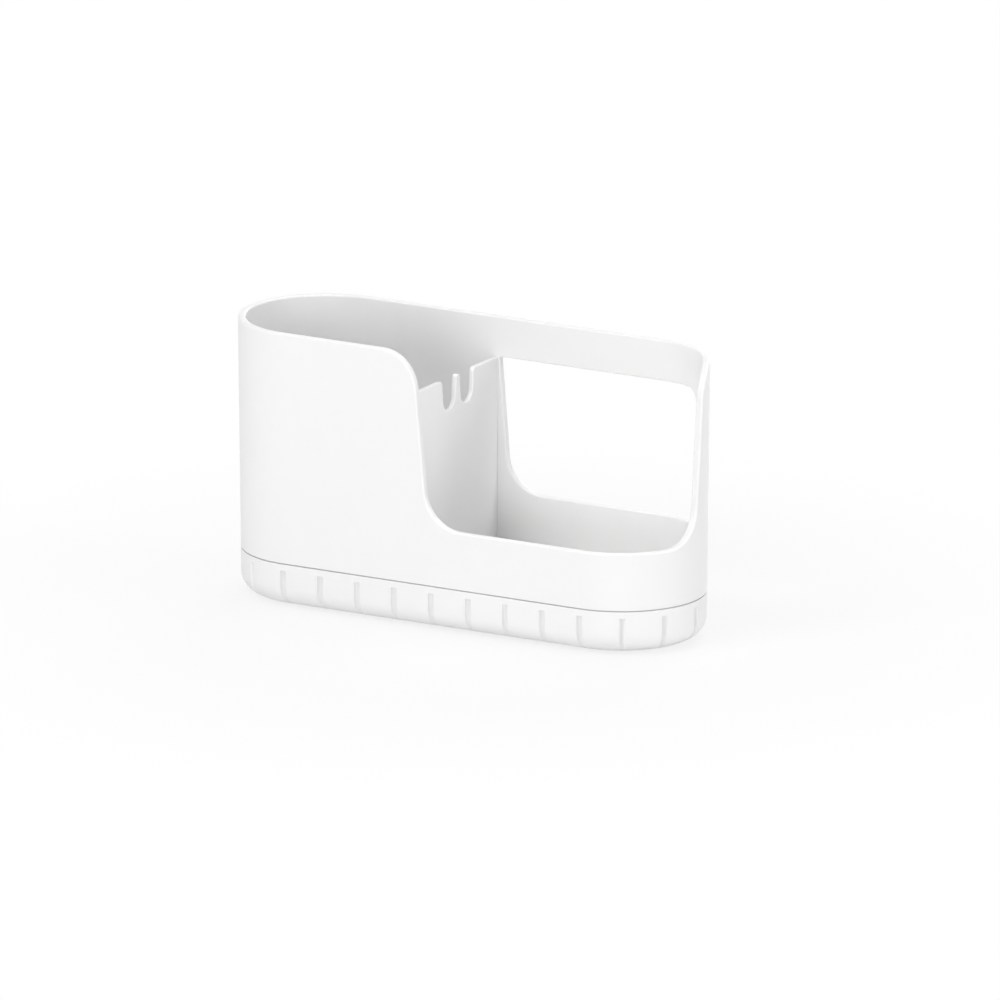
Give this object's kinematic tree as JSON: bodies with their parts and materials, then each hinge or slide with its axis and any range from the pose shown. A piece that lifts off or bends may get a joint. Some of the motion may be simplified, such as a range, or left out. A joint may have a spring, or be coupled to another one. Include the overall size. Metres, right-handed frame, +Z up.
{
  "type": "kitchen sink caddy",
  "caption": "Obround sink caddy: tall drafted sleeve with a wrapped front cut-out and rear window, lift-out drain grid and notched divider, over a fluted drip tray on rubber feet.",
  "frame": {"origin": "middle of the footprint, on the plane that the four feet stand on", "axes": "+X along the length towards the low, cut-out end, +Y towards the back wall with the window, +Z up"},
  "size_m": [0.2417, 0.0824, 0.1337],
  "materials": {
    "sleeve_plastic": "smooth satin white moulding",
    "tray_plastic": "smooth satin white moulding",
    "grid_plastic": "fine matt white moulding",
    "divider_plastic": "smooth satin white moulding",
    "foot_rubber": "soft pale grey rubber"
  },
  "bodies": {
    "tray": {"drip_tray": "tray_plastic", "foot_front_left": "foot_rubber", "foot_front_right": "foot_rubber", "foot_rear_left": "foot_rubber", "foot_rear_right": "foot_rubber"},
    "sleeve": {"caddy_sleeve": "sleeve_plastic"},
    "grid": {"drain_grid": "grid_plastic"},
    "divider": {"divider": "divider_plastic"}
  },
  "joints": [
    {"name": "sleeve_lift", "type": "slide", "parent": "tray", "child": "sleeve", "axis": [0, 0, 1], "range_m": [0, 0.05]},
    {"name": "grid_lift", "type": "slide", "parent": "sleeve", "child": "grid", "axis": [0, 0, 1], "range_m": [0, 0.13]},
    {"name": "divider_lift", "type": "slide", "parent": "grid", "child": "divider", "axis": [0, 0, 1], "range_m": [0, 0.12]}
  ]
}
